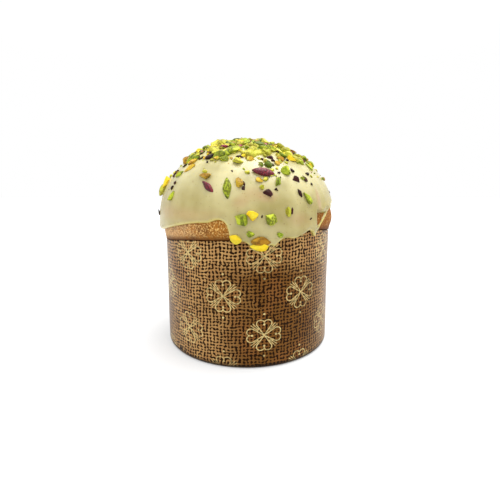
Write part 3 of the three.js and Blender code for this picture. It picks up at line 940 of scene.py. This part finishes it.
# %% Surfaces
class Surface:
    """A material under way: its node tree, its shader and the fields that it reads."""

    def __init__(self, name, roughness, gloss=0.3, tint=(1.0, 1.0, 1.0)):
        self.material = bpy.data.materials.new(name)
        self.material.use_nodes = True
        self.tree = self.material.node_tree
        self.shader = self.tree.nodes["Principled BSDF"]
        self.coordinates = add_node(self.tree, "TexCoord", {}).outputs["Object"]
        shine = {"Roughness": roughness, "Specular IOR Level": gloss, "Specular Tint": tint}
        feed(self.tree, self.shader, shine)

    def axes(self):
        """The three object coordinates, in millimetres."""
        split = add_node(self.tree, "SeparateXYZ", {0: self.coordinates})
        return [Field(self.tree, socket) * (1 / MM) for socket in split.outputs]

    def attribute(self, name):
        """A number painted on the mesh."""
        node = add_node(self.tree, "Attribute", {}, attribute_name=name)
        return Field(self.tree, node.outputs["Fac"])

    def vector(self, x, y, z):
        """A position made of three fields or numbers."""
        return add_node(self.tree, "CombineXYZ", {0: x, 1: y, 2: z}).outputs[0]

    def noise(self, size, detail=2.0, at=None, roughness=0.5):
        """Soft noise between 0 and 1, with clouds about size millimetres across, on a position in
        millimetres or else on the object's coordinates."""
        at, unit = (self.coordinates, MM) if at is None else (at, 1)
        clouds = {"Vector": at, "Scale": 1 / (size * unit), "Detail": detail, "Roughness": roughness}
        return Field(self.tree, add_node(self.tree, "TexNoise", clouds).outputs["Fac"])

    def cells(self, size):
        """Distance from the nearest of many scattered points, and a random number for each."""
        node = add_node(self.tree, "TexVoronoi", {"Vector": self.coordinates, "Scale": 1 / (size * MM)})
        split = add_node(self.tree, "SeparateColor", {0: node.outputs["Color"]})
        return Field(self.tree, node.outputs["Distance"]), Field(self.tree, split.outputs[0])

    def specks(self, size, circle, chance):
        """Small circles round some of the points scattered size apart: their edge runs between
        two distances, and a point has one where its number is past the chance's two limits."""
        near, number = self.cells(size)
        return near.step(*circle) * number.step(*chance)

    def layered(self, colour, *layers):
        """A colour with others laid over it in turn, each as the share that it covers and a
        colour."""
        for share, over in layers:
            node = add_node(self.tree, "Mix", {"Factor": share, 6: colour, 7: over}, data_type="RGBA")
            colour = node.outputs[2]
        return colour

    def finish(self, colour, height, bump_mm):
        """Gives the shader its colour, and a bump of bump_mm millimetres that follows height."""
        relief = {"Strength": 1, "Distance": bump_mm * MM, "Height": height}
        normal = add_node(self.tree, "Bump", relief).outputs[0]
        feed(self.tree, self.shader, {"Base Color": colour, "Normal": normal})
        return self.material


def dress(piece, material):
    """Gives a piece one more material."""
    piece.data.materials.append(material)
    print(piece.name, "has a finish of", len(material.node_tree.nodes), "nodes")


def light(red, green, blue):
    """A colour given as it looks on a screen, 0 to 255, as the linear light that Blender uses."""
    share = np.array([red, green, blue]) / 255
    linear = np.where(share < 0.04045, share / 12.92, ((share + 0.055) / 1.055) ** 2.4)
    return tuple(float(part) for part in linear)


print("a middle grey of 128 on a screen is", round(light(128, 128, 128)[0], 3), "as linear light")

# %% [markdown]
# The paper is printed with a coarse jute weave, light threads with dark gaps between them. On the
# wall a point has a distance round and a height, and the weave is the sum of a wave round and a
# wave up, broken by noise so that some gaps run together. A brick or checker texture would be
# quicker, and far too even.

# %% The weave
GAPS_ROUND = 160
GAP_RISE = 1.75
GAP_SWAY = (2.8, 2.4)
GAP_UNEVENNESS = 2.2
GAP_EDGE = (1.08, 1.28)


def weave(surface, round_mm, up_mm):
    """How dark the gaps between the threads are: 1 in a gap, 0 on a thread. The sum of two waves
    is largest in a gap, and noise stretched along a thread raises one wave where gaps join."""
    pitch = 2 * np.pi * CASE_FOOT_RADIUS / GAPS_ROUND
    at = surface.vector(round_mm, up_mm, 0.0)
    sway = surface.noise(6, 2, at) - 0.5
    other_sway = surface.noise(6, 1, surface.vector(up_mm, round_mm, 9.0)) - 0.5
    column = ((round_mm + sway * GAP_SWAY[0]) * (2 * np.pi / pitch)).do("COSINE") * 0.5 + 0.5
    row = ((up_mm + other_sway * GAP_SWAY[1]) * (2 * np.pi / GAP_RISE)).do("COSINE") * 0.5 + 0.5
    upright = surface.noise(1, 1, surface.vector(round_mm * 0.7, up_mm * 0.34, 3.0)).step(0.54, 0.66)
    level = surface.noise(1, 1, surface.vector(round_mm * 0.36, up_mm * 0.7, 6.0)).step(0.57, 0.7)
    column = column + (column * -1 + 1) * level * 0.8
    row = row + (row * -1 + 1) * upright * 0.85
    uneven = (surface.noise(1.3, 2, at) - 0.5) * GAP_UNEVENNESS
    return (column + row + uneven).step(*GAP_EDGE)


print("there are", GAPS_ROUND, "gaps round the case, and one each", GAP_RISE, "mm up")

# %% [markdown]
# Over the weave lies a half-drop pattern of gold flowers: each second column is half a flower's
# pitch lower. A flower is folded twice onto half of one petal, whose outline is a circle and the
# straight line that touches it from the flower's middle. All its lines are distances, so they
# have one width everywhere.

# %% The gold flowers
FLOWER_COLUMNS = 15
FLOWER_BEARING = 9.7
FLOWER_HEIGHT = 58.8
FLOWER_PITCH = 40.6
FLOWER_STRETCH = 1.1
LOBE = {"along": 6.2, "across": 1.75, "radius": 1.9}
STAMEN = {"turn": 40.5, "from": 3.8, "to": 8.3, "half": 0.15}
NOTCH_DOT = 5.7
OUTER_DOT = 11.2
DOT_RADIUS = 0.5
LINE_HALF = 0.2
LINE_EDGE = (0.16, -0.1)


def distance(x, y):
    """The length of the step x, y."""
    return (x * x + y * y).do("SQRT")


def flower(across, up):
    """The gold lines of one flower, 1 on a line: four heart-shaped petals, a dot in each notch,
    two stamens between petals, and a dot above and below."""
    wide, tall = across.do("ABSOLUTE"), up.do("ABSOLUTE")
    x, y = wide.do("MAXIMUM", tall), wide.do("MINIMUM", tall)
    along, aside, radius = LOBE.values()
    reach = np.hypot(along, aside)
    touch = np.arctan2(aside, along) + np.arcsin(radius / reach)
    touch_length = np.sqrt(reach**2 - radius**2)
    lobe = distance(x - along, y - aside) - radius
    along_side = x * np.cos(touch) + y * np.sin(touch)
    off_side = y * np.cos(touch) - x * np.sin(touch)
    wedge = off_side.do("MAXIMUM", along_side - touch_length).do("MAXIMUM", x - along)
    petal = lobe.do("MINIMUM", wedge).do("ABSOLUTE") - LINE_HALF
    notch = distance(x - NOTCH_DOT, y) - DOT_RADIUS
    turned = np.radians(STAMEN["turn"])
    stamen_off = (y * np.cos(turned) - x * np.sin(turned)).do("ABSOLUTE") - STAMEN["half"]
    from_middle = distance(x, y)
    stamen = stamen_off.do("MAXIMUM", from_middle * -1 + STAMEN["from"])
    stamen = stamen.do("MAXIMUM", from_middle - STAMEN["to"])
    dot = distance(wide, tall - OUTER_DOT) - DOT_RADIUS
    nearest = petal.do("MINIMUM", notch).do("MINIMUM", stamen).do("MINIMUM", dot)
    return nearest.step(*LINE_EDGE)


def flowers(turn, up_mm):
    """The half-drop pattern: which column a point is in, how far it is from the column's middle,
    and how far from the nearest flower of that column."""
    column_step = 2 * np.pi / FLOWER_COLUMNS
    column = (turn - np.radians(FLOWER_BEARING)) / column_step
    middle = column.do("ROUND")
    across = (column - middle) * (column_step * CASE_FOOT_RADIUS)
    odd = middle.do("PINGPONG", 1.0)
    rise = (up_mm - FLOWER_HEIGHT + odd * (FLOWER_PITCH / 2)) / FLOWER_PITCH
    up = (rise - rise.do("ROUND")) * FLOWER_PITCH
    return flower(across / FLOWER_STRETCH, up)


print("there are", FLOWER_COLUMNS, "columns of flowers, with one each", FLOWER_PITCH, "mm up")

# %% [markdown]
# Print on paper is ink on a base, so the finish is laid down in the order of the press: brown
# threads, rusty clouds, dark gaps, then gold that is worn away in places. The threads also carry
# painted shade, a slow cosine round the case that is deeper low down. Last come the glued edge at
# the back and a painted contact shadow on the foot, where it stands.

# %% The printed paper
PAPER_THREAD = light(182, 142, 89)
PAPER_THREAD_DARK = light(102, 67, 28)
PAPER_RUST = light(126, 80, 42)
PAPER_SEAM = light(150, 116, 74)
PAPER_GAP = light(22, 6, 0)
GOLD_INK = light(206, 186, 126)
FOOT_SHADE = light(14, 10, 8)
WEAVE_TILT = 1.75
SEAM_EDGE = (0.35, 0.25)
FOOT_SHADOW_BAND = (3.4, 1.2)
PAINTED_SHADE_BELOW = (62, 44)


def make_printed_paper():
    """Threads between two browns by fibre and clouds, darkened by painted shade from a slow cosine
    round the case that is deeper low down, then the rust, the gaps, the worn gold lines, the glued
    edge and a painted contact shadow at the foot."""
    surface = Surface("printed_paper", roughness=0.34, gloss=0.12, tint=(0.85, 0.55, 0.3))
    x, y, z = surface.axes()
    turn = x.do("ARCTAN2", y * -1)
    round_mm = turn * CASE_FOOT_RADIUS
    gaps = weave(surface, round_mm, z - turn.do("SINE") * WEAVE_TILT)
    at = surface.vector(round_mm, z, 0.0)
    fibre = surface.noise(1, 3, surface.vector(round_mm * 0.9, z * 2.6, 2.0), 0.7)
    cloud = surface.noise(22, 2, at)
    # Painted shade: a slow cosine round the case, stronger low down, darkens the threads in broad bands.
    painted_shade_round = (turn * 3 - 1.05).do("COSINE") * 0.5 + 0.5
    shade = (fibre * 0.6 + cloud * 0.5 - painted_shade_round * (z.step(*PAINTED_SHADE_BELOW) * 0.5 + 0.02)).ramp(0.13, 0.65)
    rust = surface.noise(9, 2, surface.vector(round_mm, z * 0.7, 5.0)).step(0.45, 0.65) * 0.42
    faded = surface.noise(24, 1, surface.vector(round_mm, z, 8.0)).ramp(0.36, 0.6)
    worn = surface.noise(2.2, 2, at).ramp(0.25, 0.6) * 0.4 + faded * 0.35 + 0.25
    ink = flowers(turn, z) * worn * (gaps * -0.3 + 1)
    to_seam = (turn.do("ABSOLUTE") * -1 + np.pi) * CASE_FOOT_RADIUS
    colour = surface.layered(
        PAPER_THREAD_DARK, (shade, PAPER_THREAD), (rust, PAPER_RUST), (gaps, PAPER_GAP), (ink, GOLD_INK),
        # The dark band at the foot is a painted contact shadow.
        (to_seam.step(*SEAM_EDGE), PAPER_SEAM), (z.step(*FOOT_SHADOW_BAND) * 0.9, FOOT_SHADE),
    )
    return surface.finish(colour, gaps * -0.6 + fibre * 0.5 + ink * 0.2, bump_mm=0.04)


dress(baking_case, make_printed_paper())

# %% [markdown]
# Under the case the paper is bare and unprinted, so the foot's flat faces get a material of
# their own.

# %% The bare paper under the case
BARE_PAPER = light(112, 76, 42)
BARE_FIBRE = light(134, 96, 58)
FACES_DOWN = -0.9


def make_bare_paper():
    """Two browns mixed by fine noise."""
    surface = Surface("bare_paper", roughness=0.7)
    fibre = surface.noise(1.2, 4)
    return surface.finish(surface.layered(BARE_PAPER, (fibre, BARE_FIBRE)), fibre, bump_mm=0.04)


dress(baking_case, make_bare_paper())
normals = np.zeros(3 * len(baking_case.data.polygons))
baking_case.data.polygons.foreach_get("normal", normals)
underneath = normals.reshape(-1, 3)[:, 2] < FACES_DOWN
baking_case.data.polygons.foreach_set("material_index", underneath.astype(np.int32))
print(int(underneath.sum()), "faces under the case are bare paper")

# %% [markdown]
# Baked crust is never one brown. Clouds of a few millimetres run from orange tan to pale tan, and
# a fine grain of pits breaks the shine. Painted shade darkens it low down at the paper's rim and
# makes it darker and more orange on its right side.

# %% The crust
CRUST_DARK = light(90, 48, 8)
CRUST_TAN = light(158, 102, 36)
CRUST_PALE = light(214, 172, 100)
# The next two browns are painted shade: at the rim and on the right side.
CRUST_RIM_SHADE = light(84, 44, 2)
CRUST_RIGHT_SHADE = light(130, 70, 0)
CRUST_LEFT_PALE = light(222, 186, 142)
RIGHT_SHADE_SPAN = (5, 38)
PALE_LEFT_SPAN = (14, 46)


def make_crust():
    """Clouds, grain and pits mix the browns, and it is paler to the left. Painted shade makes it
    darker and more orange to the right, and dark low down at the rim."""
    surface = Surface("bread_crust", roughness=0.6, gloss=0.1)
    cloud = surface.noise(6, 3)
    grain = surface.noise(0.9, 3, roughness=0.7)
    pits, _ = surface.cells(0.9)
    x, _, _ = surface.axes()
    # Painted shade: the right side is made darker and more orange.
    right_shade = x.step(*RIGHT_SHADE_SPAN)
    # Paler to the left, in patches that follow the grain.
    paler_left = (x * -1).step(*PALE_LEFT_SPAN) * grain.step(0.3, 0.6)
    # Painted shade low down at the rim, made ragged by the grain.
    low = (surface.attribute("low") + (grain - 0.5) * 0.8).step(0.35, 1.1)
    colour = surface.layered(
        CRUST_DARK, (cloud.ramp(0.3, 0.6), CRUST_TAN), (right_shade * 0.7, CRUST_RIGHT_SHADE),
        (grain.step(0.48, 0.62) * (right_shade * -0.55 + 1), CRUST_PALE), (pits.step(0.42, 0.12) * 0.8, CRUST_DARK),
        (paler_left * 0.55, CRUST_LEFT_PALE), (low, CRUST_RIM_SHADE),
    )
    return surface.finish(colour, grain * 0.7 + pits.ramp(0, 0.4) * 0.6 + cloud * 0.5, bump_mm=0.35)


dress(bread, make_crust())

# %% [markdown]
# The icing is white chocolate and pistachio cream: pale yellow green, soft, and a little glossy
# because light goes into it before it comes back. Subsurface light gives that, where a plain
# diffuse colour looks like painted plaster. Ground nut shows as tiny specks, and where the icing
# is thin the brown crust warms it. A few of these warm patches are painted shade.

# %% The icing's finish
ICING_PALE = light(189, 180, 130)
ICING_GREEN = light(146, 136, 80)
# The next cream is painted light, and the one after it painted shade.
ICING_PAINTED_LIGHT = light(196, 188, 144)
ICING_PAINTED_SHADE = light(154, 139, 76)
ICING_CROWN_TONE = light(178, 171, 96)
ICING_THIN_AND_SHADE = light(172, 136, 94)
# The rim's colour is a painted highlight.
ICING_RIM_HIGHLIGHT = light(214, 200, 106)
SPECK_GREEN = light(146, 140, 60)
SPECK_BROWN = light(120, 84, 48)
PAINTED_LIGHT_FROM = (80, 92)
PAINTED_LIGHT_TO = (108, 98)
ICING_SHADE_BELOW = (98, 80)
CROWN_TONE_ABOVE = (100, 112)
SHADED_SIDES = {"middle": 6, "out": (18, 38), "below": (96, 82)}
SCATTERING = {"weight": 0.25, "depth": 1.2, "colours": (1.0, 0.8, 0.4)}


def make_icing_finish():
    """Clouds and streaks mix two creams. Painted light makes it whiter high up, and painted shade
    makes it deeper low down and at the sides. It is greener on the crown, warmer where it is thin
    and on a few patches of painted shade, brighter and yellower at the edge by a painted highlight,
    and it has three sizes of specks."""
    surface = Surface("pistachio_icing", roughness=0.27, gloss=0.5)
    x, y, z = surface.axes()
    round_mm = x.do("ARCTAN2", y * -1) * BREAD_RADIUS
    streak = surface.noise(7, 2, surface.vector(round_mm, z * 0.3, 0.0))
    cloud = surface.noise(14, 2)
    creams = (cloud + (streak - 0.5) * 0.4).ramp(0.32, 0.64)
    # Painted light: a band high on the dome is made whiter.
    high = z.step(*PAINTED_LIGHT_FROM) * z.step(*PAINTED_LIGHT_TO)
    # Painted shade: the icing is made deeper at the left and right sides, low down.
    shaded_sides = (x - SHADED_SIDES["middle"]).do("ABSOLUTE").step(*SHADED_SIDES["out"]) * z.step(*SHADED_SIDES["below"])
    thin = (surface.attribute("thin") * 0.75 + (surface.noise(9, 2) - 0.5) * 0.35).step(0.05, 0.95)
    colour = surface.layered(
        # Painted shade also deepens the lower icing.
        ICING_GREEN, (creams, ICING_PALE), (high * 0.3, ICING_PAINTED_LIGHT), (z.step(*ICING_SHADE_BELOW) * 0.4, ICING_PAINTED_SHADE),
        (shaded_sides * 0.32, ICING_PAINTED_SHADE), (z.step(*CROWN_TONE_ABOVE) * 0.5, ICING_CROWN_TONE), (thin * 0.62, ICING_THIN_AND_SHADE),
        # A painted highlight makes the edge brighter and yellower.
        (surface.attribute("rim") * 0.6, ICING_RIM_HIGHLIGHT),
        (surface.specks(2.4, (0.17, 0.09), (0.55, 0.6)) * 0.55, SPECK_GREEN),
        (surface.specks(3.7, (0.1, 0.06), (0.6, 0.62)) * 0.7, SPECK_BROWN),
        (surface.specks(1.1, (0.22, 0.12), (0.76, 0.8)) * 0.6, SPECK_BROWN),
    )
    surface.shader.inputs["Subsurface Weight"].default_value = SCATTERING["weight"]
    surface.shader.inputs["Subsurface Scale"].default_value = SCATTERING["depth"] * MM
    surface.shader.inputs["Subsurface Radius"].default_value = SCATTERING["colours"]
    return surface.finish(colour, cloud * 0.6 + surface.noise(3, 2) * 0.4, bump_mm=0.25)


dress(icing, make_icing_finish())

# %% [markdown]
# A pistachio's flesh is bright green and its cut faces paler, its skin is olive to purple, and
# ripe ones turn yellow to orange. Each kind has three colours: two for the flesh, between which
# each nut has its own tint, and one for the skin, which the mesh marks where no cut was made and
# at each nut's foot, where it is a painted shade on the icing.

# %% The nuts' finishes
NUT_FINISHES = {
    "green": ("green_pistachio", (88, 112, 16), (182, 192, 52), (52, 50, 16)),
    "pale": ("pale_pistachio", (160, 164, 34), (212, 204, 84), (112, 98, 22)),
    "yellow": ("yellow_pistachio", (220, 184, 24), (216, 202, 56), (196, 164, 34), 0.5),
    "gold": ("golden_pistachio", (156, 110, 24), (204, 172, 54), (88, 54, 14)),
    "purple": ("purple_pistachio", (164, 44, 60), (74, 4, 18), (62, 10, 22), 0.5, 0.26, 0.3, 0.45),
    "chip": ("dark_chip", (62, 26, 28), (22, 8, 8), (54, 34, 18), 0.4, 0.4, 0.1),
}


def make_nut(name, flesh, other_flesh, skin_colour, skin_share=0.8, rough=0.45, gloss=0.12, wrinkle=0.16):
    """Flesh between two colours by the nut's tint and some noise, and skin where it is uncut and, as
    painted shade, at its foot.
    """
    surface = Surface(name, rough, gloss)
    grain = surface.noise(0.9, 3)
    tint = surface.attribute("tint") * 1.6 + (grain - 0.5) * 1.7 - 0.3
    skin = surface.attribute("skin") * grain.step(0.32, 0.6) * skin_share
    colour = surface.layered(
        light(*flesh), (tint.ramp(0, 1), light(*other_flesh)), (skin, light(*skin_colour))
    )
    return surface.finish(colour, grain + surface.noise(0.5, 2) * 0.5, wrinkle)


for kind, values in NUT_FINISHES.items():
    dress(nuts[kind], make_nut(*values))

# %% [markdown]
# The photograph has a white ground, soft light from all round and more from above and the right,
# so that the upper right of the icing is brightest. A white world gives the light from all round,
# brighter from the ceiling, and a wide soft sun the rest. A weak smaller one gives the icing its
# sheen at the left. The floor glows a little, as a light table does, so that little more than the
# dark line of contact under the case is left as a shadow.

# %% Floor and light
FLOOR_SIZE = 6.0
FLOOR_COLOUR = (0.45, 0.45, 0.45)
FLOOR_GLOW = 0.33
WORLD_LIGHT = 1.0
TOP_LIGHT = 0.5
CEILING = (0.3, 0.9)
KEY = {"bearing": 105, "height": 74, "softness": 50, "strength": 3.2}
WINDOW = {"bearing": -32, "height": 54, "softness": 10, "strength": 0.4}


def make_floor():
    """A square that faces up, matt and glowing a little."""
    half = FLOOR_SIZE / 2 / MM
    corners = np.array([(-half, -half, 0), (half, -half, 0), (half, half, 0), (-half, half, 0)])
    floor = new_piece("floor", corners, [(0, 1, 2, 3)], smooth=False)
    surface = Surface("white_floor", roughness=0.9, gloss=0.0)
    feed(surface.tree, surface.shader, {
        "Base Color": FLOOR_COLOUR, "Emission Color": (1, 1, 1), "Emission Strength": FLOOR_GLOW,
    })
    dress(floor, surface.material)


def make_light():
    """The world's strength rises by a smooth step with the upward part of the direction, and each
    sun is turned from straight down to its height and bearing."""
    world = bpy.data.worlds.new("white_room")
    world.use_nodes = True
    tree = world.node_tree
    direction = add_node(tree, "SeparateXYZ", {0: add_node(tree, "TexCoord", {}).outputs["Generated"]})
    strength = Field(tree, direction.outputs["Z"]).step(*CEILING) * TOP_LIGHT + WORLD_LIGHT
    feed(tree, tree.nodes["Background"], {"Strength": strength, "Color": (1, 1, 1)})
    bpy.context.scene.world = world
    for name, values in (("soft_key", KEY), ("window", WINDOW)):
        lamp = bpy.data.lights.new(name, "SUN")
        lamp.energy = values["strength"]
        lamp.angle = np.radians(values["softness"])
        sun = bpy.data.objects.new(name, lamp)
        sun.rotation_euler = (np.radians(90 - values["height"]), 0, np.radians(values["bearing"]))
        bpy.context.scene.collection.objects.link(sun)


make_floor()
make_light()
bpy.context.scene.view_settings.view_transform = "Standard"
print("the world's light is", WORLD_LIGHT)

# %% [markdown]
# The camera stands close and a little above the case's rim, looking slightly down, as the
# photograph's ellipses show. Its place comes from fitting the foot, the rim and the dome.

# %% Camera
CAMERA_DISTANCE = 0.2
CAMERA_HEIGHT = 0.0906
CAMERA_PITCH = 10.73
CAMERA_YAW = 0.45
CAMERA_LENS = 23.06
SENSOR = 36


def make_camera():
    """A camera in front of the middle, turned down by its pitch and right by its yaw."""
    lens = bpy.data.cameras.new("photo_camera")
    lens.lens = CAMERA_LENS
    lens.sensor_width = SENSOR
    lens.clip_start = 0.01
    camera = bpy.data.objects.new("photo_camera", lens)
    camera.location = (0, -CAMERA_DISTANCE, CAMERA_HEIGHT)
    camera.rotation_euler = (np.radians(90 - CAMERA_PITCH), 0, np.radians(-CAMERA_YAW))
    bpy.context.scene.collection.objects.link(camera)
    bpy.context.scene.camera = camera


make_camera()
print("the camera is", CAMERA_DISTANCE, "m in front of the middle and", CAMERA_HEIGHT, "m up")

# %% [markdown]
